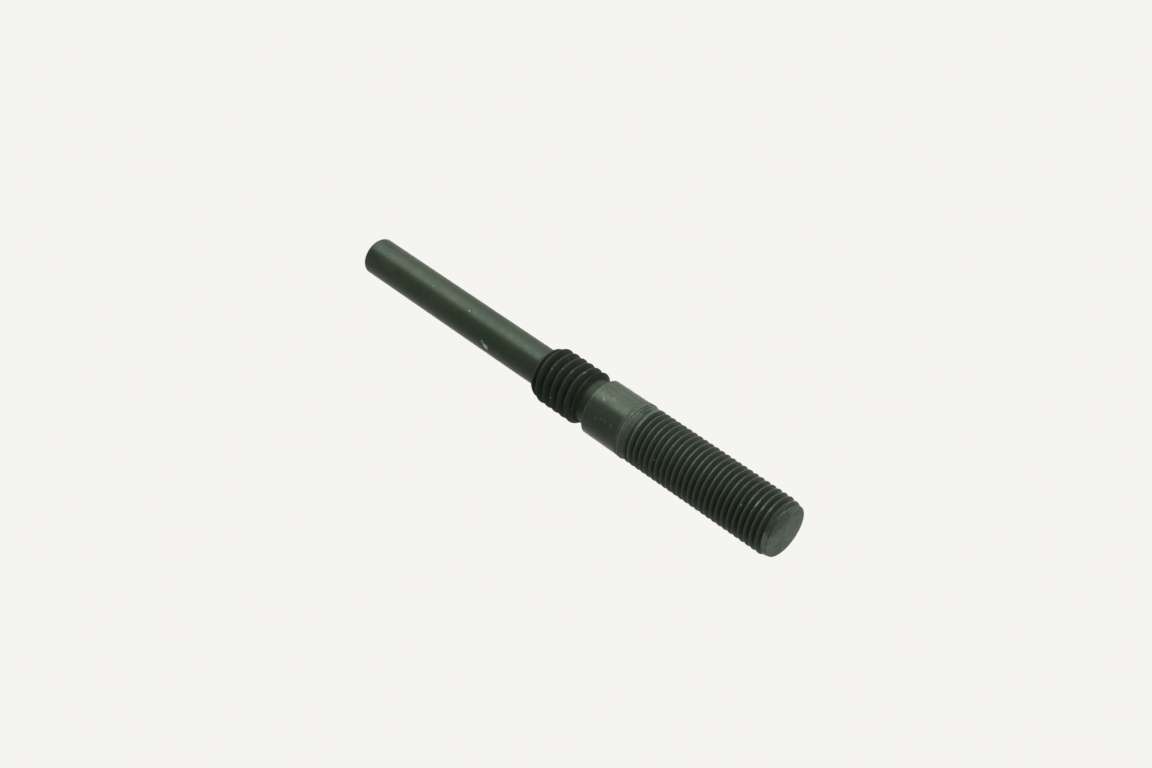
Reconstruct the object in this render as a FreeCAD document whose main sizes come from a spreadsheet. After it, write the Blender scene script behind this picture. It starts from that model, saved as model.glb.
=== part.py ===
import FreeCAD, Part
import Sketcher
import os

# A guide pin turned from one bar: a smooth guide, a coarse thread, a plain collar and a fine
# thread. It stands on the flat end of the fine thread, with its axis on +Z, in millimetres.

doc = FreeCAD.newDocument("GuidePin")

sizes = {
    "guide_diameter": 7.54,
    "guide_length": 48.1,
    "guide_chamfer": 0.4,
    "collar_diameter": 11.11,
    "collar_length": 8.9,
    "collar_edge_break": 0.15,
    "lip_height": 0.06,
    "lip_length": 1.0,
    "coarse_allowance": 0.055,
    "coarse_pitch": 1.814,
    "coarse_length": 11.05,
    "lead_depth": 0.75,
    "lead_length": 1.4,
    "neck_depth": 1.2,
    "neck_length": 2.4,
    "neck_chamfer_length": 0.6,
    "coarse_groove_start": 1.3,
    "fine_allowance": 0.03,
    "fine_pitch": 1.27,
    "fine_length": 32.3,
    "fine_groove_start": 0.635,
    "fine_runout_length": 0.42,
    "relief_depth": 0.15,
    "relief_length": 1.5,
    "end_taper_depth": 0.525,
    "end_taper_length": 1.8,
    "groove_depth_ratio": 0.6134,
    "groove_width_ratio": 0.875,
    "cutter_overhang": 0.04,
}
sheet = doc.addObject("Spreadsheet::Sheet", "Sizes")
for row, (alias, size) in enumerate(sizes.items(), start=1):
    sheet.set(f"A{row}", alias)
    sheet.set(f"B{row}", str(size))
    sheet.setAlias(f"B{row}", alias)
doc.recompute()

# Heights above the end face, each stretch on the one below it.
relief_foot = "Sizes.fine_length"
collar_foot = f"{relief_foot} + Sizes.relief_length"
collar_top = f"{collar_foot} + Sizes.collar_length"
neck_top = f"{collar_top} + Sizes.neck_length"
guide_foot = f"{neck_top} + Sizes.coarse_length"
guide_top = f"{guide_foot} + Sizes.guide_length"

# Radii. The collar has the size of the bar, and each thread is turned a little below it.
guide_radius = "Sizes.guide_diameter / 2"
collar_radius = "Sizes.collar_diameter / 2"
lip_radius = f"{collar_radius} + Sizes.lip_height"
coarse_crest = f"{collar_radius} - Sizes.coarse_allowance"
lead_radius = f"{coarse_crest} - Sizes.lead_depth"
neck_radius = f"{coarse_crest} - Sizes.neck_depth"
fine_crest = f"{collar_radius} - Sizes.fine_allowance"
relief_radius = f"{fine_crest} - Sizes.relief_depth"
end_face_radius = f"{fine_crest} - Sizes.end_taper_depth"


def half_section(body, name, corners, half_turn=False):
    """Closed outline on a plane through the axis, each corner given as radius and height."""
    sketch = body.newObject("Sketcher::SketchObject", name)
    planes = body.Origin.OriginFeatures
    upright = next(plane for plane in planes if plane.Role == "XZ_Plane")
    sketch.AttachmentSupport = (upright, "")
    sketch.MapMode = "FlatFace"
    if half_turn:
        about_axis = FreeCAD.Rotation(FreeCAD.Vector(0, 1, 0), 180)
        sketch.AttachmentOffset = FreeCAD.Placement(FreeCAD.Vector(), about_axis)
    points = [
        FreeCAD.Vector(sheet.evalExpression(radius), sheet.evalExpression(height), 0)
        for radius, height in corners
    ]
    following = points[1:] + points[:1]
    for start, end in zip(points, following):
        sketch.addGeometry(Part.LineSegment(start, end), False)
    origin, start_point, end_point = -1, 1, 2
    for index, (radius, height) in enumerate(corners):
        before = (index - 1) % len(corners)
        sketch.addConstraint(
            Sketcher.Constraint("Coincident", before, end_point, index, start_point))
        for direction, value in (("DistanceX", radius), ("DistanceY", height)):
            size = sheet.evalExpression(value)
            constraint = sketch.addConstraint(
                Sketcher.Constraint(direction, origin, start_point, index, start_point, size))
            sketch.setExpression(f"Constraints[{constraint}]", value)
    return sketch


def groove_section(body, name, crest, pitch, height, half_turn=False):
    """The vee that cuts one thread, sized by its pitch and drawn out a little past its crest."""
    depth = f"{pitch} * Sizes.groove_depth_ratio"
    half_width = f"{pitch} * Sizes.groove_width_ratio / 2"
    half_mouth = f"{half_width} * (1 + Sizes.cutter_overhang / ({depth}))"
    root = f"{crest} - {depth}"
    mouth = f"{crest} + Sizes.cutter_overhang"
    corners = [
        (root, height),
        (mouth, f"{height} - {half_mouth}"),
        (mouth, f"{height} + {half_mouth}"),
    ]
    return half_section(body, name, corners, half_turn)


def cut_helix(body, name, section, pitch, length, downward=False, cone_angle="0"):
    """Right-handed groove swept about the axis from its section."""
    volume_before = body.Shape.Volume
    helix = body.newObject("PartDesign::SubtractiveHelix", name)
    helix.Profile = section
    helix.ReferenceAxis = (section, ["V_Axis"])
    helix.Mode = "pitch-height-angle"
    helix.setExpression("Pitch", pitch)
    helix.setExpression("Height", length)
    helix.setExpression("Angle", cone_angle)
    helix.LeftHanded = False
    helix.Reversed = downward
    doc.recompute()
    if helix.Shape.Volume >= volume_before:
        raise RuntimeError(f"{name} cut nothing")
    return helix


pin = doc.addObject("PartDesign::Body", "guide_pin")
pin.Label = "guide_pin"

# The turned blank, from the end face up to the tip of the guide and back down the axis.
turning_profile = half_section(pin, "turning_profile", [
    ("0", "0"),
    (end_face_radius, "0"),
    (fine_crest, "Sizes.end_taper_length"),
    (fine_crest, relief_foot),
    (relief_radius, relief_foot),
    (relief_radius, collar_foot),
    (lip_radius, collar_foot),
    (collar_radius, f"{collar_foot} + Sizes.lip_length"),
    (collar_radius, f"{collar_top} - Sizes.collar_edge_break"),
    (f"{collar_radius} - Sizes.collar_edge_break", collar_top),
    (neck_radius, collar_top),
    (neck_radius, neck_top),
    (coarse_crest, f"{neck_top} + Sizes.neck_chamfer_length"),
    (coarse_crest, f"{guide_foot} - Sizes.lead_length"),
    (lead_radius, guide_foot),
    (guide_radius, guide_foot),
    (guide_radius, f"{guide_top} - Sizes.guide_chamfer"),
    (f"{guide_radius} - Sizes.guide_chamfer", guide_top),
    ("0", guide_top),
])
turned_bar = pin.newObject("PartDesign::Revolution", "turned_bar")
turned_bar.Profile = turning_profile
turned_bar.ReferenceAxis = (turning_profile, ["V_Axis"])
turned_bar.Angle = 360
doc.recompute()

# The fine thread is cut down through the end face, and above it the cutter is drawn out of
# the bar just before the relief.
fine_head = f"{relief_foot} - Sizes.fine_groove_start"
fine_section = groove_section(
    pin, "fine_section", fine_crest, "Sizes.fine_pitch", fine_head, half_turn=True)
fine_thread = cut_helix(
    pin, "fine_thread", fine_section, "Sizes.fine_pitch",
    "Sizes.fine_length - Sizes.fine_groove_start + Sizes.fine_pitch", downward=True)
withdrawal = "Sizes.fine_pitch * Sizes.groove_depth_ratio + Sizes.cutter_overhang"
fine_runout = cut_helix(
    pin, "fine_runout", fine_section, "Sizes.fine_pitch", "Sizes.fine_runout_length",
    cone_angle=f"atan(({withdrawal}) / Sizes.fine_runout_length)")

# The coarse thread starts in the neck, on the side away from the fine thread's end.
coarse_foot = f"{collar_top} + Sizes.coarse_groove_start"
coarse_reach = "Sizes.neck_length - Sizes.coarse_groove_start + Sizes.coarse_length"
coarse_section = groove_section(
    pin, "coarse_section", coarse_crest, "Sizes.coarse_pitch", coarse_foot, half_turn=True)
coarse_thread = cut_helix(
    pin, "coarse_thread", coarse_section, "Sizes.coarse_pitch",
    f"{coarse_reach} + Sizes.coarse_pitch")

pin.Tip = coarse_thread
doc.recompute()

for item in doc.Objects:
    if {"Invalid", "Error"} & set(item.State):
        raise RuntimeError(f"{item.Name} did not build: {item.State}")
if pin.Shape.isNull() or not pin.Shape.isValid() or len(pin.Shape.Solids) != 1:
    raise RuntimeError("guide_pin is not one valid solid")

os.makedirs("parts", exist_ok=True)
pin.Shape.exportStep(f"parts/{pin.Label}.step")
print(f"{pin.Label}: {pin.Shape.Volume:.1f} mm3, {len(pin.Shape.Faces)} faces")
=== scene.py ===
import bpy
import math
from mathutils import Matrix, Vector, noise


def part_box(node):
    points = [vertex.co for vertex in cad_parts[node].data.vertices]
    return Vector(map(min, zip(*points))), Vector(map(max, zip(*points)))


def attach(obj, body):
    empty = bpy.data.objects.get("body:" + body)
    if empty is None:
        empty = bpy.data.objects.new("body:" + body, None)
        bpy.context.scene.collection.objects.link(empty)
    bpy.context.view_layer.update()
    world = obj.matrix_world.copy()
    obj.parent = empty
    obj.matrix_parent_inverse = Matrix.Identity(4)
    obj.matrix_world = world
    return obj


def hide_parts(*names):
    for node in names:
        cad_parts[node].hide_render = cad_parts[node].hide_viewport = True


# The looks of a blackened steel guide pin. Lengths are in millimetres, and mm turns them
# into metres. Angles go round the pin from +X towards +Y, and the photo sees the -Y side.

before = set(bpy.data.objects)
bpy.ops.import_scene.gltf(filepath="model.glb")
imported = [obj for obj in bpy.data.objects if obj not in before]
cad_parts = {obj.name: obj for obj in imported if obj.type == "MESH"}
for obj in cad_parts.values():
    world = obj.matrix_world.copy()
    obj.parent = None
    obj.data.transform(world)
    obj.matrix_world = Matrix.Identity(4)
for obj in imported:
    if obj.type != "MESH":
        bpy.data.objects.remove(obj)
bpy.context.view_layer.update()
mm = 0.001
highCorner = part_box("guide_pin")[1]
pinTop = highCorner.z / mm
lipRadius = highCorner.x / mm
print("frame loaded, pin is %.2f mm tall" % pinTop)


# Shape of the pin

turned = {
    "fineTop": 32.3,
    "collarFoot": 33.8,
    "collarTop": 42.7,
    "neckTop": 45.1,
    "guideFoot": 56.15,
    "faceRadius": 5.0,
    "faceEdge": 0.07,
    "endTaper": 1.8,
    "fineRadius": 5.525,
    "reliefRadius": 5.375,
    "barRadius": 5.555,
    "lip": 1.0,
    "collarEdge": 0.15,
    "neckRadius": 4.3,
    "neckCorner": 0.4,
    "neckChamfer": 0.6,
    "coarseRadius": 5.5,
    "leadRadius": 4.75,
    "lead": 1.4,
    "guideRadius": 3.77,
    "guideEdge": 0.6,
    "softStep": 0.06,
    "lipCorner": 0.16,
}
skinRows = {
    "guideEdgeSteps": 6,
    "lip": 0.35,                    # height of a row of faces on each plain stretch
    "collar": 0.5,
    "guide": 0.4,
    "faceRings": [4.5, 3.7, 2.8, 1.9, 1.0, 0.4],
    "tipRings": [2.6, 1.9, 1.2, 0.5],
    "sharpAbove": 38,               # degrees between two faces that leave a hard edge
    "sameHeight": 0.001,
}
fineThread = {
    "pitch": 1.27,
    "crest": turned["fineRadius"],
    "start": 31.665,                # height of the first full groove, at the start turn
    "startTurn": 0.5,
    "runout": 0.62,                 # turns in which the groove fades out above its start
    "foot": -24.58,                 # turns down to where the last groove is worn away
    "footFade": 0.18,
    "goesUp": False,
    "rows": (0, 0.05, 0.1, 0.19, 0.29, 0.385, 0.42, 0.45, 0.5),
}
coarseThread = {
    "pitch": 1.814,
    "crest": turned["coarseRadius"],
    "start": 44.0,
    "startTurn": 0.5,
    "runout": 0,
    "goesUp": True,
    "rows": (0, 0.04, 0.08, 0.12, 0.19, 0.27, 0.35, 0.4, 0.43, 0.455, 0.5),
}
threadForm = {
    "depthInPitches": 0.6134,
    "rootHalfInPitches": 0.0833,
    "flank": math.tan(math.radians(30)),
    "rootRounding": 0.2,
    "crestRounding": 0.2,
    "toolClearance": 0.04,          # how far past the crest the tool is drawn out
    "snapInPitches": 0.02,          # rows this near to a band's end ring are put on it
}
surfaceFlaws = {
    # height, angle, half width round the bar, half height, depth
    "nicks": [
        (69.4, 222.5, 0.45, 0.65, 0.05),
        (54.9, 250, 0.5, 0.3, 0.12),
        (52.9, 286, 0.4, 0.25, 0.1),
        (49.3, 295, 0.5, 0.3, 0.12),
        (47.3, 238, 0.6, 0.3, 0.1),
        (25.35, 240, 0.5, 0.25, 0.06),
        (12.4, 61, 0.6, 0.3, 0.08),
        (20.1, 118, 0.5, 0.3, 0.08),
        (51.0, 96, 0.6, 0.3, 0.12),
    ],
    "wornSpread": 1.6,
    "waver": 0.012,
    "waverRound": 4,
    "waverAlong": 1.9,
}
columns = 128


def softMin(first, second, width):
    gap = max(width - abs(first - second), 0) / width
    return min(first, second) - gap * gap * width / 4


def blankOutline():
    t = turned
    step = t["softStep"] / 2
    points = [
        (0, t["faceRadius"] - t["faceEdge"]),
        (t["faceEdge"], t["faceRadius"]),
        (t["endTaper"], t["fineRadius"]),
        (t["fineTop"] - step, t["fineRadius"]),
        (t["fineTop"] + step, t["reliefRadius"]),
        (t["collarFoot"] - t["lipCorner"], t["reliefRadius"]),
        (t["collarFoot"], lipRadius - step),
        (t["collarFoot"] + step, lipRadius),
        (t["collarFoot"] + t["lip"], t["barRadius"]),
        (t["collarTop"] - t["collarEdge"], t["barRadius"]),
        (t["collarTop"], t["barRadius"] - t["collarEdge"]),
        (t["collarTop"] + step, t["neckRadius"] + t["neckCorner"]),
        (t["collarTop"] + t["neckCorner"] / 3, t["neckRadius"] + t["neckCorner"] / 3),
        (t["collarTop"] + t["neckCorner"], t["neckRadius"]),
        (t["neckTop"], t["neckRadius"]),
        (t["neckTop"] + t["neckChamfer"], t["coarseRadius"]),
        (t["guideFoot"] - t["lead"], t["coarseRadius"]),
        (t["guideFoot"], t["leadRadius"]),
        (t["guideFoot"] + step, t["guideRadius"]),
    ]
    roundedFrom = pinTop - t["guideEdge"]
    steps = skinRows["guideEdgeSteps"]
    for i in range(steps + 1):
        angle = math.radians(90 / steps * i)
        points.append((roundedFrom + t["guideEdge"] * math.sin(angle),
                       t["guideRadius"] - t["guideEdge"] * (1 - math.cos(angle))))
    return points


outline = blankOutline()


def blankRadius(height):
    for (lowHeight, lowRadius), (topHeight, topRadius) in zip(outline, outline[1:]):
        if height <= topHeight:
            share = (height - lowHeight) / (topHeight - lowHeight)
            return lowRadius + share * (topRadius - lowRadius)
    return outline[-1][1]


def grooveRadius(thread, height, turn):
    # radius of the groove's wall at this height, with the groove's turn nearest to it
    pitch = thread["pitch"]
    depth = pitch * threadForm["depthInPitches"]
    root = thread["crest"] - depth
    along = (height - thread["start"]) / pitch
    offset = turn - thread["startTurn"]
    nearest = round(along - offset)
    radius = math.inf
    for whole in (nearest - 1, nearest, nearest + 1):
        path = offset + whole
        lift = 0
        if thread["goesUp"] and path < 0:
            continue
        if not thread["goesUp"] and path > 0:
            if path > thread["runout"]:
                continue
            lift = (depth + threadForm["toolClearance"]) * path / thread["runout"]
        if not thread["goesUp"] and path < thread["foot"]:
            lift = depth * min(1, (thread["foot"] - path) / thread["footFade"])
        away = abs(along - path) * pitch - threadForm["rootHalfInPitches"] * pitch
        flank = root + away / threadForm["flank"]
        wall = -softMin(-root, -flank, threadForm["rootRounding"]) + lift
        radius = min(radius, wall)
    return radius


def threadAt(height):
    if height <= turned["collarFoot"]:
        return fineThread
    if turned["collarTop"] <= height <= turned["guideFoot"]:
        return coarseThread


def flawDepth(height, angle, radius):
    waverRound = surfaceFlaws["waverRound"]
    depth = surfaceFlaws["waver"] * noise.noise(Vector((
        math.cos(angle) * waverRound, math.sin(angle) * waverRound,
        height * surfaceFlaws["waverAlong"])))
    worn = 0
    for top, degrees, halfWidth, halfHeight, deepest in surfaceFlaws["nicks"]:
        turnAway = math.remainder(angle - math.radians(degrees), 2 * math.pi)
        reach = math.hypot(turnAway * radius / halfWidth, (height - top) / halfHeight)
        if reach < 1:
            share = (1 - reach * reach) ** 2
            depth += deepest * share
            worn = max(worn, min(1, share * surfaceFlaws["wornSpread"]))
    return max(depth, 0), worn


class PinMesh:
    # gathers points on the pin's skin, one for each column and height, and faces between them

    def __init__(self):
        self.points = []
        self.below = []
        self.worn = []
        self.faces = []
        self.known = {}

    def pointAt(self, column, height):
        column = column % columns
        key = (column, round(height, 3))
        if key not in self.known:
            turn = column / columns
            angle = turn * 2 * math.pi
            blank = blankRadius(height)
            radius = blank
            thread = threadAt(height)
            if thread:
                wall = grooveRadius(thread, height, turn)
                radius = softMin(blank, wall, threadForm["crestRounding"])
            flaw, worn = flawDepth(height, angle, blank)
            radius = min(radius, blank - flaw)
            self.known[key] = self.addPoint(radius, angle, height, blank - radius, worn)
        return self.known[key]

    def addPoint(self, radius, angle, height, below, worn):
        self.points.append((radius * math.cos(angle) * mm, radius * math.sin(angle) * mm,
                            height * mm))
        self.below.append(below)
        self.worn.append(worn)
        return len(self.points) - 1

    def addFace(self, corners):
        kept = list(dict.fromkeys(corners))
        if len(kept) > 2:
            self.faces.append(kept)

    def plainBand(self, heights):
        for low, high in zip(heights, heights[1:]):
            for column in range(columns):
                self.addFace([self.pointAt(column, low), self.pointAt(column + 1, low),
                              self.pointAt(column + 1, high), self.pointAt(column, high)])

    def threadBand(self, thread, low, high):
        # rows follow the helix, and are held back to the band's two end rings
        pitch = thread["pitch"]
        half = thread["rows"]
        phases = [-share for share in reversed(half[1:-1])] + list(half)
        snap = pitch * threadForm["snapInPitches"]

        def held(step, row):
            over, row = divmod(row, len(phases))
            turns = step / columns + phases[row] + over - thread["startTurn"]
            height = thread["start"] + pitch * turns
            if height < low + snap:
                return low
            return high if height > high - snap else height

        firstTurn = math.floor((low - thread["start"]) / pitch) - 1
        lastTurn = math.ceil((high - thread["start"]) / pitch) + 2
        for step in range(firstTurn * columns, lastTurn * columns):
            for row in range(len(phases)):
                self.addFace([self.pointAt(step, held(step, row)),
                              self.pointAt(step + 1, held(step + 1, row)),
                              self.pointAt(step + 1, held(step + 1, row + 1)),
                              self.pointAt(step, held(step, row + 1))])

    def endCap(self, height, radii, upward):
        ring = [self.pointAt(column, height) for column in range(columns)]
        for radius in radii:
            inner = [self.addPoint(radius, 2 * math.pi * column / columns, height, 0, 0)
                     for column in range(columns)]
            for column in range(columns):
                after = (column + 1) % columns
                face = [ring[column], ring[after], inner[after], inner[column]]
                self.addFace(face if upward else face[::-1])
            ring = inner
        middle = self.addPoint(0, 0, height, 0, 0)
        for column in range(columns):
            face = [ring[column], ring[(column + 1) % columns], middle]
            self.addFace(face if upward else face[::-1])


def spread(low, high, step):
    count = max(1, math.ceil((high - low) / step))
    return [low + (high - low) * i / count for i in range(count + 1)]


def joined(*lists):
    heights = list(lists[0])
    for more in lists[1:]:
        heights += [height for height in more if height > heights[-1] + skinRows["sameHeight"]]
    return heights


def buildPin():
    t = turned
    step = t["softStep"] / 2
    mesh = PinMesh()
    mesh.endCap(0, skinRows["faceRings"], False)
    fineBands = [0, t["faceEdge"], t["endTaper"], t["fineTop"] - step, t["fineTop"] + step,
                 t["collarFoot"] - t["lipCorner"], t["collarFoot"]]
    for low, high in zip(fineBands, fineBands[1:]):
        mesh.threadBand(fineThread, low, high)
    mesh.plainBand(joined(
        [t["collarFoot"], t["collarFoot"] + step],
        spread(t["collarFoot"] + step, t["collarFoot"] + t["lip"], skinRows["lip"]),
        spread(t["collarFoot"] + t["lip"], t["collarTop"] - t["collarEdge"],
               skinRows["collar"]),
        [t["collarTop"]]))
    coarseBands = [t["collarTop"], t["collarTop"] + step, t["collarTop"] + t["neckCorner"] / 3,
                   t["collarTop"] + t["neckCorner"], t["neckTop"],
                   t["neckTop"] + t["neckChamfer"], t["guideFoot"] - t["lead"], t["guideFoot"]]
    for low, high in zip(coarseBands, coarseBands[1:]):
        mesh.threadBand(coarseThread, low, high)
    edgeRings = [height for height, radius in outline[-skinRows["guideEdgeSteps"] - 1:]]
    mesh.plainBand(joined(
        [t["guideFoot"], t["guideFoot"] + step],
        spread(t["guideFoot"] + step, edgeRings[0], skinRows["guide"]),
        edgeRings))
    mesh.endCap(pinTop, skinRows["tipRings"], True)

    data = bpy.data.meshes.new("guidePinSkin")
    data.from_pydata(mesh.points, [], mesh.faces)
    for name, values in (("below", mesh.below), ("worn", mesh.worn)):
        layer = data.attributes.new(name, "FLOAT", "POINT")
        layer.data.foreach_set("value", values)
    data.shade_smooth()
    data.set_sharp_from_angle(angle=math.radians(skinRows["sharpAbove"]))
    data.update()
    pin = bpy.data.objects.new("guidePinSteel", data)
    bpy.context.scene.collection.objects.link(pin)
    triangles = sum(len(face) - 2 for face in mesh.faces)
    print("pin skin has %d points and %d triangles" % (len(mesh.points), triangles))
    return pin


# Shader tools

class Wire:
    # one socket of a node; arithmetic on it adds Math nodes to its tree

    def __init__(self, socket):
        self.socket = socket

    def math(self, operation, *values):
        tree = self.socket.id_data
        return addNode(tree, "ShaderNodeMath", {"operation": operation},
                       dict(enumerate((self,) + values)))

    def __add__(self, other):
        return self.math("ADD", other)

    def __sub__(self, other):
        return self.math("SUBTRACT", other)

    def __rsub__(self, other):
        return (self * -1) + other

    def __mul__(self, other):
        return self.math("MULTIPLY", other)

    def __truediv__(self, other):
        return self.math("DIVIDE", other)

    __radd__ = __add__
    __rmul__ = __mul__

    def atMost(self, other):
        return self.math("MINIMUM", other)

    def atLeast(self, other):
        return self.math("MAXIMUM", other)

    def ramp(self, low, high):
        # 0 below low, 1 above high, smooth between
        return addNode(self.socket.id_data, "ShaderNodeMapRange",
                       {"interpolation_type": "SMOOTHSTEP"},
                       {"Value": self, "From Min": low, "From Max": high})


def addNode(tree, kind, settings=None, sockets=None, output=0):
    node = tree.nodes.new(kind)
    for name, value in (settings or {}).items():
        setattr(node, name, value)
    for name, value in (sockets or {}).items():
        if isinstance(value, Wire):
            tree.links.new(value.socket, node.inputs[name])
        else:
            node.inputs[name].default_value = value
    return Wire(node.outputs[output]) if node.outputs else None


def mixColours(tree, factor, first, second):
    # colour sockets of the Mix node are its sixth and seventh, and its colour output is the third
    return addNode(tree, "ShaderNodeMix", {"data_type": "RGBA"},
                   {0: factor, 6: first, 7: second}, 2)


def asColour(red, green, blue):
    return (red, green, blue, 1)


# Finish of the steel

steelLook = {
    "guide": asColour(0.016, 0.026, 0.015),
    "collar": asColour(0.026, 0.037, 0.025),
    "band": asColour(0.062, 0.084, 0.06),     # relief and lip, turned and left rough
    "neck": asColour(0.01, 0.014, 0.01),
    "fine": asColour(0.046, 0.061, 0.043),
    "fineUpper": asColour(0.065, 0.085, 0.06),
    "coarse": asColour(0.03, 0.039, 0.029),
    # the end face is much lighter than the rest: partly its own finish, partly painted light
    # standing in for light from below
    "face": asColour(0.145, 0.208, 0.138),
    "faceStain": asColour(0.016, 0.035, 0.016),
    # pale colour of the pale marks; on the collar's upper side it is painted light
    "faceEdge": asColour(0.2, 0.25, 0.19),
    "olive": asColour(0.06, 0.062, 0.034),
    "brown": asColour(0.085, 0.072, 0.056),
    # dark colour: soot in random patches, and painted shade in the thread roots, at the guide's
    # foot and on the collar's lower side
    "sootAndShade": asColour(0.012, 0.016, 0.011),
    # pale bare metal: real wear, and also painted highlights on the crests and painted light on
    # the lip's step and the band under it
    "worn": asColour(0.3, 0.34, 0.28),
    "bare": asColour(0.72, 0.76, 0.68),
    "gleam": asColour(0.72, 1.0, 0.7),
    "specular": 0.23,
    "roughness": 0.38,
}
finishShares = {
    "oliveLow": 0.15,
    "oliveTowardsTip": 0.3,
    "brown": 0.4,
    "sootAndShade": 0.5,
    # darkening of the thread roots, soot and painted shade, and of the guide's foot above the
    # shoulder, painted shade
    "rootSootAndShade": 0.65,
    "shoulderShade": 0.6,
    "bandStreaks": 0.5,
    "faceClouds": 0.25,
    "coarseCrestSoot": 0.4,
    "crestWorn": 0.05,              # bare metal on a crest, and more of it in patches
    "crestWornPatches": 0.35,
    "coarseSpared": 0.85,
    "crestShadedSideShare": 0.4,               # what pale metal the crests keep on the side towards -X; painted light, as that side gets less of the lamps' highlight
    "nickWorn": 0.5,
    "collarRimWorn": (0.02, 0.18),
    # the lip's worn lower edge, carried onto its step as painted light, and a pale turned ring
    # under the lip that is also painted light over the lip's shadow
    "lipRimWornAndLit": (0.04, 0.25),
    "bandRimTurnedAndLit": 0.2,
    "metalInWear": 0.9,
    "mostMetal": 0.7,
    "metalInBare": 0.3,
}
roughnessChange = {
    "threads": 0.1,
    "neck": 0.15,
    "band": 0.2,
    "collar": -0.07,
    "coarseCrest": 0.12,
    "fineCrest": -0.18,
    "darkMarks": 0.25,
    "mottle": 0.2,
}
finishHeights = {
    # heights between which one finish gives way to the next
    "offFace": (0.005, 0.02),
    "offTaper": (turned["endTaper"] - 0.4, turned["endTaper"] + 0.4),
    "upFineThread": (8, 26),
    "crestsEnd": (turned["fineTop"] - 1.3, turned["fineTop"] - 0.7),
    "crestWearEnds": (turned["fineTop"] - 1.1, turned["fineTop"] - 0.5),
    "offFineThread": (turned["fineTop"] - 0.1, turned["fineTop"] + 0.1),
    "bandRimStarts": (turned["collarFoot"] - 0.5, turned["collarFoot"] - 0.35),
    "bandRimEnds": (turned["collarFoot"] + 0.02, turned["collarFoot"] + 0.06),
    "lipRimStarts": (turned["collarFoot"] - 0.1, turned["collarFoot"] - 0.04),
    "lipRimEnds": (turned["collarFoot"] + 0.15, turned["collarFoot"] + 0.35),
    "collarStarts": (turned["collarFoot"] + 0.7, turned["collarFoot"] + 1.15),
    "collarEnds": (turned["collarTop"] - 0.1, turned["collarTop"]),
    "collarRimStarts": (turned["collarTop"] - 0.5, turned["collarTop"] - 0.2),
    "collarRimEnds": (turned["collarTop"] - 0.1, turned["collarTop"] - 0.02),
    "neckStarts": (turned["collarTop"] - 0.06, turned["collarTop"]),
    "coarseStarts": (turned["neckTop"] - 0.2, turned["neckTop"] + 0.2),
    "guideStarts": (turned["guideFoot"] - 0.1, turned["guideFoot"] + 0.1),
    "shoulderEnds": (turned["guideFoot"] + 0.05, turned["guideFoot"] + 1.05),
    "upGuide": (68, 98),
}
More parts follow.
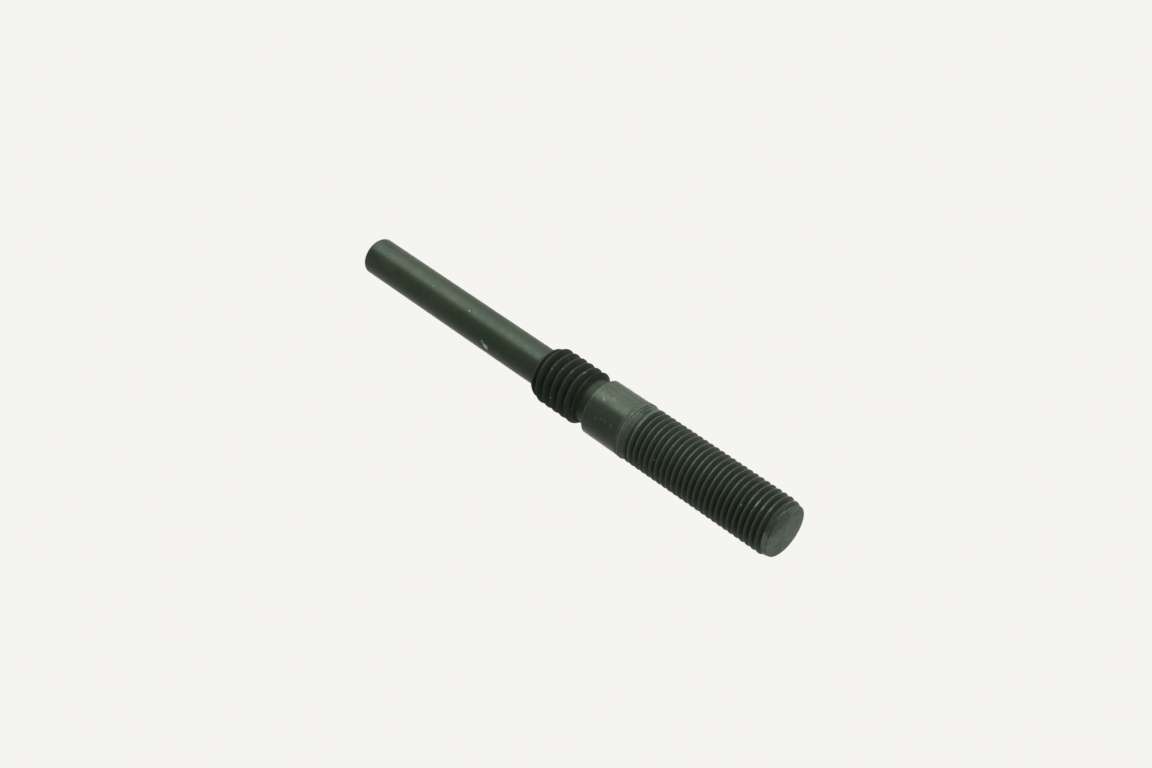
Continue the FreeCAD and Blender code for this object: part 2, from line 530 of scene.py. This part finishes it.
surfaceMarks = {
    # height, angle, half length along the bar, half width round it, strength
    "bare": [
        (69.35, 220, 0.75, 0.55, 0.7),
        (69.85, 224.5, 0.5, 0.42, 0.6),
        (70.35, 230.5, 0.35, 0.32, 0.4),
        (86.2, 287, 0.3, 0.2, 0.1),
        (76.05, 285, 0.2, 0.18, 0.75),
        (75.0, 294, 0.7, 0.3, 0.03),
        (67.5, 293, 0.6, 0.3, 0.03),
        (65.45, 293, 0.6, 0.3, 0.03),
        (61.3, 294, 0.4, 0.3, 0.04),
        (59.85, 282, 0.6, 0.2, 0.04),
        (66.25, 222, 0.4, 0.12, 0.16),
        (86.05, 215, 0.5, 0.15, 0.14),
        (40.5, 287.5, 0.15, 0.13, 0.4),
        (40.15, 283.5, 0.14, 0.12, 0.4),
        (41.3, 292, 0.5, 0.4, 0.06),
        (40.2, 292, 0.8, 0.5, 0.03),
        (38.75, 297, 0.45, 0.4, 0.06),
        (36.95, 285, 0.6, 0.25, 0.03),
        (34.1, 290.5, 0.12, 0.3, 0.12),
        (38.6, 252, 0.14, 0.4, 0.1),
        (37.95, 254, 0.12, 0.4, 0.1),
        (37.5, 252, 0.12, 0.35, 0.1),
        (36.2, 251, 0.14, 0.45, 0.1),
        (39.7, 247, 0.3, 0.22, 0.08),
        (45.55, 291.5, 0.3, 0.6, 0.05),
        (47.25, 309, 0.1, 0.5, 0.25),
        (51.05, 290, 0.2, 0.2, 0.5),
        (52.75, 277, 0.2, 0.2, 0.45),
        (50.5, 225.5, 0.2, 0.25, 0.3),
        (48.35, 234, 0.2, 0.3, 0.25),
        (25.7, 240.5, 0.3, 0.22, 0.5),
        (25.3, 238, 0.2, 0.2, 0.35),
        (7.05, 265.5, 0.12, 0.12, 0.75),
        (12.95, 331, 0.4, 0.4, 0.3),
        (4.85, 266.5, 0.14, 0.14, 0.3),
        (4.72, 284, 0.15, 0.85, 0.26),
        (3.46, 283, 0.14, 0.7, 0.17),
        (2.2, 287, 0.14, 0.6, 0.15),
        (6.02, 289, 0.14, 0.7, 0.1),
        (92.0, 120, 0.5, 0.25, 0.5),
        (63.2, 70, 0.3, 0.2, 0.35),
        (38.0, 95, 0.35, 0.3, 0.3),
        (49.5, 130, 0.2, 0.35, 0.35),
        (17.6, 80, 0.25, 0.3, 0.4),
    ],
    # height, angle, half length, half width, strength, as above
    "pale": [
        (0.55, 226, 0.75, 3.2, 1),
        (0.3, 293, 0.14, 1.5, 0.4),
        (0.6, 180, 0.7, 1.6, 0.4),
        # painted light: the collar's upper side made paler
        (38.4, 322, 5.0, 4.2, 0.1),
    ],
    "dark": [
        (0.85, 291, 0.24, 2.0, 0.75),
        (33.3, 322, 0.5, 2.0, 0.8),
        (32.5, 316, 0.3, 1.9, 0.75),
        (36.8, 233.5, 0.2, 0.2, 0.6),
        # painted shade at the guide's foot above the shoulder
        (56.9, 265, 0.6, 2.6, 0.5),
        (0.5, 313, 0.5, 0.7, 0.5),
        # painted shade on the collar's lower side
        (38.2, 240, 4.8, 3.0, 0.3),
        (7.3, 284, 0.35, 1.7, 0.7),
        (8.6, 286, 0.3, 1.5, 0.4),
        (11.1, 287, 0.3, 1.4, 0.35),
        (12.35, 284, 0.3, 1.4, 0.35),
        (1.2, 316, 0.8, 1.6, 0.7),
        (43.9, 243, 1.3, 2.2, 0.5),
    ],
    # on the end face: x, y, half width, half depth, strength
    "faceBare": [
        (-0.1, 4.2, 0.3, 0.5, 0.3),
        (3.5, -3.3, 0.22, 0.35, 0.16),
        (-2.3, -3.5, 0.18, 0.3, 0.1),
        (-2.65, 3.1, 0.2, 0.4, 0.12),
        (0.6, 3.7, 3.4, 1.5, 0.06),
    ],
    "faceDark": [
        (0.3, -4.8, 3.6, 3.6, 0.95),
        (1.9, -3.4, 1.6, 2.8, 0.8),
        (0.9, -2.0, 0.35, 0.6, 0.75),
        (-2.7, -3.0, 0.4, 0.6, 0.5),
        (3.9, -3.7, 0.9, 1.1, 0.95),
        (-1.2, -1.2, 0.6, 0.7, 0.35),
        (-3.1, 0.4, 2.4, 3.2, 0.12),
    ],
}


def steelMaterial():
    look = steelLook
    share = finishShares
    change = roughnessChange
    material = bpy.data.materials.new("blackenedSteel")
    material.use_nodes = True
    tree = material.node_tree
    tree.nodes.clear()

    def add(kind, settings=None, sockets=None, output=0):
        return addNode(tree, kind, settings, sockets, output)

    def cloud(scale, detail=3, rough=0.5):
        return add("ShaderNodeTexNoise", {}, {"Vector": place, "Scale": scale,
                                              "Detail": detail, "Roughness": rough})

    def oval(middle, turn, reach, strength, rim):
        # 1 inside an oval round the middle, with a ragged rim
        local = add("ShaderNodeMapping", {"vector_type": "TEXTURE"}, {
            "Vector": place, "Location": middle * mm, "Rotation": (0, 0, turn),
            "Scale": reach * mm})
        away = add("ShaderNodeVectorMath", {"operation": "LENGTH"}, {0: local}, 1)
        return (1 - (away + ragged * rim).ramp(0.5, 0.95)) * strength

    def onBar(marks):
        whole = 0
        for top, degrees, halfLength, halfWidth, strength in marks:
            turn = math.radians(degrees)
            radius = blankRadius(top)
            middle = Vector((radius * math.cos(turn), radius * math.sin(turn), top))
            reach = Vector((0.8, halfWidth, halfLength))
            whole = oval(middle, turn, reach, strength, 1).atLeast(whole)
        return whole

    def onEnd(marks):
        whole = 0
        for x, y, halfX, halfY, strength in marks:
            reach = Vector((halfX, halfY, 0.3))
            whole = oval(Vector((x, y, 0)), 0, reach, strength, 0.25).atLeast(whole)
        return whole

    def above(zone):
        return height.ramp(*finishHeights[zone])

    place = add("ShaderNodeTexCoord", output=3)
    split = add("ShaderNodeSeparateXYZ", {}, {0: place}, 2)
    across = add("ShaderNodeSeparateXYZ", {}, {0: place}, 0)
    height = split / mm
    below = add("ShaderNodeAttribute", {"attribute_name": "below"}, {}, 2)
    nicked = add("ShaderNodeAttribute", {"attribute_name": "worn"}, {}, 2)

    broad = cloud(190)
    mottle = cloud(800, 4, 0.6)
    fleck = cloud(2600, 2, 0.55)
    grain = cloud(6500, 2, 0.6)
    lathe = add("ShaderNodeTexNoise", {"noise_dimensions": "1D"}, {"W": height * 9, "Detail": 2})
    ragged = (fleck - 0.5) * 2.2 + (grain - 0.5) * 1.2

    onGuide = above("guideStarts")
    onCoarse = above("coarseStarts") * (1 - onGuide)
    onNeck = above("neckStarts") * (1 - onGuide)
    onFine = 1 - above("offFineThread")
    onCollar = above("collarStarts") * (1 - above("collarEnds"))
    onBand = (1 - above("collarStarts")) * (1 - onFine)
    onFace = 1 - above("offFace")
    threaded = onCoarse.atLeast(onFine)
    smooth = 1 - threaded

    colour = mixColours(tree, onGuide, look["collar"], look["guide"])
    colour = mixColours(tree, onBand, colour, look["band"])
    colour = mixColours(tree, onFine, colour, look["fine"])
    colour = mixColours(tree, above("upFineThread") * onFine, colour, look["fineUpper"])
    colour = mixColours(tree, onNeck, colour, look["neck"])
    colour = mixColours(tree, onCoarse, colour, look["coarse"])
    colour = mixColours(tree, onFace, colour, look["face"])
    tipWards = share["oliveLow"] + share["oliveTowardsTip"] * above("upGuide")
    colour = mixColours(tree, broad.ramp(0.4, 0.68) * tipWards * smooth, colour, look["olive"])
    patches = cloud(420)
    brown = patches.ramp(0.5, 0.75) * share["brown"] * threaded
    colour = mixColours(tree, brown, colour, look["brown"])
    colour = mixColours(tree, mottle.ramp(0.4, 0.85) * share["sootAndShade"], colour, look["sootAndShade"])
    # below is in millimetres; its factor brings a root of either thread to about 1
    root = (below * (1.28 - 0.38 * onCoarse)).ramp(0.7, 1.0) * threaded
    # painted shade: the thread roots darken as soot and as shade, and the guide's foot just above
    # the shoulder darkens as shade
    shoulder = (1 - above("shoulderEnds")) * onGuide
    rootAndShoulderShade = root * share["rootSootAndShade"] + shoulder * share["shoulderShade"]
    colour = mixColours(tree, rootAndShoulderShade, colour, look["sootAndShade"])
    streaks = lathe.ramp(0.42, 0.62) * share["bandStreaks"] * onBand
    colour = mixColours(tree, streaks, colour, look["sootAndShade"])
    faceDark = onEnd(surfaceMarks["faceDark"]) + patches.ramp(0.4, 0.7) * share["faceClouds"]
    colour = mixColours(tree, (faceDark * onFace).atMost(1), colour, look["faceStain"])
    colour = mixColours(tree, onBar(surfaceMarks["pale"]) * (1 - onFace), colour, look["faceEdge"])
    # dark marks: stains, and painted shade on the collar's lower side and at the guide's foot
    dark = onBar(surfaceMarks["dark"])
    colour = mixColours(tree, dark, colour, look["sootAndShade"])

    # bare metal on the crests, on the rims of collar, lip and band, and at the nicks. On the
    # crests it is also a painted highlight where the lamps' reflection falls and on the side
    # towards +X, and on the lip's step and the band under it it is also painted light over the
    # lip's shade
    broken = (mottle + fleck * 0.6).ramp(0.65, 1.0)
    crest = (1 - below.ramp(0.0, 0.05)) * threaded * (1 - onFace)
    glint = onBar([(15, 290, 20, 2.2, 0.55)])        # painted highlight: pale bare metal on the crests where the lamps' reflection falls
    # painted light: the crests' pale metal fades towards the -X side, away from the lamps
    crestLitSide = share["crestShadedSideShare"] + (1 - share["crestShadedSideShare"]) * (across / mm).ramp(-1.5, 1.0)
    crestWearAndGlint = crest * (share["crestWorn"] + share["crestWornPatches"] * broken + glint)
    crestWearAndGlint = crestWearAndGlint * (1 - share["coarseSpared"] * onCoarse)
    crestWearAndGlint = crestWearAndGlint * crestLitSide * (1 - dark)
    crestWearAndGlint = crestWearAndGlint * above("offTaper") * (1 - above("crestWearEnds") * onFine)

    def rimWear(starts, ends, everywhere, inPatches):
        return above(starts) * (1 - above(ends)) * (everywhere + inPatches * broken)

    # worn rim of the collar; worn lower edge of the lip, carried down onto its step as painted
    # light over the step's shade; and a pale turned ring on the band under the lip, also painted
    # light softening the lip's shadow
    rims = (rimWear("collarRimStarts", "collarRimEnds", *share["collarRimWorn"])
            + rimWear("lipRimStarts", "lipRimEnds", *share["lipRimWornAndLit"])
            + above("bandRimStarts") * (1 - above("bandRimEnds")) * share["bandRimTurnedAndLit"])
    wearAndPaintedLight = crestWearAndGlint.atLeast(nicked * share["nickWorn"]).atLeast(rims).atMost(1)
    crestSoot = crest * onCoarse * share["coarseCrestSoot"]
    colour = mixColours(tree, crestSoot, colour, look["sootAndShade"])
    colour = mixColours(tree, wearAndPaintedLight, colour, look["worn"])
    bare = onBar(surfaceMarks["bare"]).atLeast(onEnd(surfaceMarks["faceBare"]))
    colour = mixColours(tree, bare, colour, look["bare"])

    roughness = look["roughness"] + (mottle - 0.5) * change["mottle"]
    for wire, name in ((threaded, "threads"), (onNeck, "neck"), (onBand, "band"),
                       (onCollar, "collar"), (crest * onCoarse, "coarseCrest"),
                       (crest * (1 - above("crestsEnd")), "fineCrest"), (dark, "darkMarks")):
        roughness = roughness + wire * change[name]
    metal = (wearAndPaintedLight * share["metalInWear"]).atMost(share["mostMetal"])
    metal = metal.atLeast(bare * share["metalInBare"])
    relief = mottle * 0.5 + grain * 0.35 + lathe * 0.25
    bump = add("ShaderNodeBump", {}, {"Height": relief, "Strength": 0.12, "Distance": 0.02 * mm})
    shader = add("ShaderNodeBsdfPrincipled", {}, {
        "Base Color": colour, "Metallic": metal, "Roughness": roughness,
        "Specular IOR Level": look["specular"], "Specular Tint": look["gleam"],
        "Normal": bump})
    add("ShaderNodeOutputMaterial", {}, {"Surface": shader})
    return material


pin = buildPin()
pin.data.materials.append(steelMaterial())
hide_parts("guide_pin")
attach(pin, "root")
print("pin dressed")


# Floor, world, lamps and camera

studio = {
    "pale": asColour(0.913, 0.905, 0.871),
    "ambient": 0.01,
    "floorColour": asColour(0.22, 0.218, 0.21),      # what the lamps light, shadow and all
    "floorBase": asColour(0.7, 0.694, 0.668),       # what the lens sees without any lamp
    "floorBounce": asColour(0.1, 0.1, 0.1),
    "floorGap": 0.0002,
    "floorRadius": 12.0,
    # azimuth from -Y towards +X, elevation, distance, size, level
    "lamps": {
        "keySoftbox": (36, 32, 1.5, 0.84, 0.66),
        "upperSoftbox": (66, 32, 1.5, 0.78, 0.27),
        "sideSoftbox": (96, 12, 1.5, 0.9, 0.34),
        "lowSoftbox": (28, -50, 1.5, 1.05, 0.28),
        "underSoftbox": (180, -45, 1.5, 0.9, 0.17),
        "leftSoftbox": (-92, 5, 1.5, 0.9, 0.1),
        "backSoftbox": (178, 30, 1.5, 0.9, 0.22),
    },
    "target": Vector((0, 0, 0.05)),
}


def seenPlainly(tree):
    # 1 where the camera sees it, also in a reflection or through something clear
    camera = addNode(tree, "ShaderNodeLightPath", output=0)
    glossy = addNode(tree, "ShaderNodeLightPath", output=3)
    through = addNode(tree, "ShaderNodeLightPath", output=6)
    return (camera + glossy + through).atMost(1)


def buildFloor():
    data = bpy.data.meshes.new("floor")
    rim = [(studio["floorRadius"] * math.cos(math.radians(5 * i)),
            studio["floorRadius"] * math.sin(math.radians(5 * i)), 0) for i in range(72)]
    data.from_pydata(rim, [], [list(range(72))])
    floor = bpy.data.objects.new("floor", data)
    floor.location.z = -studio["floorGap"]
    floor.visible_shadow = False
    bpy.context.scene.collection.objects.link(floor)
    material = bpy.data.materials.new("paleFloor")
    material.use_nodes = True
    tree = material.node_tree
    tree.nodes.clear()
    fromBelow = addNode(tree, "ShaderNodeNewGeometry", output=6)
    colour = mixColours(tree, seenPlainly(tree), studio["floorBounce"], studio["floorColour"])
    matt = addNode(tree, "ShaderNodeBsdfDiffuse", {}, {"Color": colour})
    glow = mixColours(tree, seenPlainly(tree), asColour(0, 0, 0), studio["floorBase"])
    base = addNode(tree, "ShaderNodeEmission", {}, {"Color": glow})
    lit = addNode(tree, "ShaderNodeAddShader", {}, {0: matt, 1: base})
    clear = addNode(tree, "ShaderNodeBsdfTransparent")
    shader = addNode(tree, "ShaderNodeMixShader", {}, {0: fromBelow, 1: lit, 2: clear})
    addNode(tree, "ShaderNodeOutputMaterial", {}, {"Surface": shader})
    data.materials.append(material)


def buildWorld():
    world = bpy.data.worlds.new("paleStudio")
    bpy.context.scene.world = world
    world.use_nodes = True
    tree = world.node_tree
    tree.nodes.clear()
    level = studio["ambient"]
    colour = mixColours(tree, seenPlainly(tree), asColour(level, level, level), studio["pale"])
    shader = addNode(tree, "ShaderNodeBackground", {}, {"Color": colour})
    addNode(tree, "ShaderNodeOutputWorld", {}, {"Surface": shader})


def buildLamp(name, azimuth, elevation, distance, size, level):
    # level is the brightness that the lamp alone gives a white surface facing it
    turn, rise = math.radians(azimuth), math.radians(elevation)
    towards = Vector((math.sin(turn) * math.cos(rise), -math.cos(turn) * math.cos(rise),
                      math.sin(rise)))
    data = bpy.data.lights.new(name, "AREA")
    data.shape = "DISK"
    data.size = size
    data.energy = level * (math.pi * distance) ** 2
    lamp = bpy.data.objects.new(name, data)
    lamp.location = studio["target"] + towards * distance
    lamp.rotation_euler = towards.to_track_quat("Z", "Y").to_euler()
    lamp.visible_camera = False
    bpy.context.scene.collection.objects.link(lamp)


cameraView = {
    "below": math.radians(30.62),    # how far under the pin's foot the lens looks up
    "roll": math.radians(34.12),     # lean of the pin's axis in the picture
    "lens": 55.02,
    "sensor": 36,
    "distance": 320.93,
    "aim": Vector((0.861, 0, 49.946)),
}


def buildCamera():
    view = cameraView
    sinB, cosB = math.sin(view["below"]), math.cos(view["below"])
    sinR, cosR = math.sin(view["roll"]), math.cos(view["roll"])
    right = Vector((sinR, cosR * sinB, -cosR * cosB))
    up = Vector((cosR, -sinR * sinB, sinR * cosB))
    back = Vector((0, -cosB, -sinB))
    data = bpy.data.cameras.new("photoCamera")
    data.sensor_fit = "HORIZONTAL"
    data.sensor_width = view["sensor"]
    data.lens = view["lens"]
    data.clip_start = 0.01
    camera = bpy.data.objects.new("photoCamera", data)
    pose = Matrix((right, up, back)).transposed().to_4x4()
    pose.translation = (view["aim"] + back * view["distance"]) * mm
    camera.matrix_world = pose
    bpy.context.scene.collection.objects.link(camera)
    bpy.context.scene.camera = camera


buildFloor()
buildWorld()
for lampName, (azimuth, elevation, distance, size, level) in studio["lamps"].items():
    buildLamp(lampName, azimuth, elevation, distance, size, level)
buildCamera()
bpy.context.scene.view_settings.view_transform = "Standard"
print("studio ready")

bpy.context.view_layer.update()
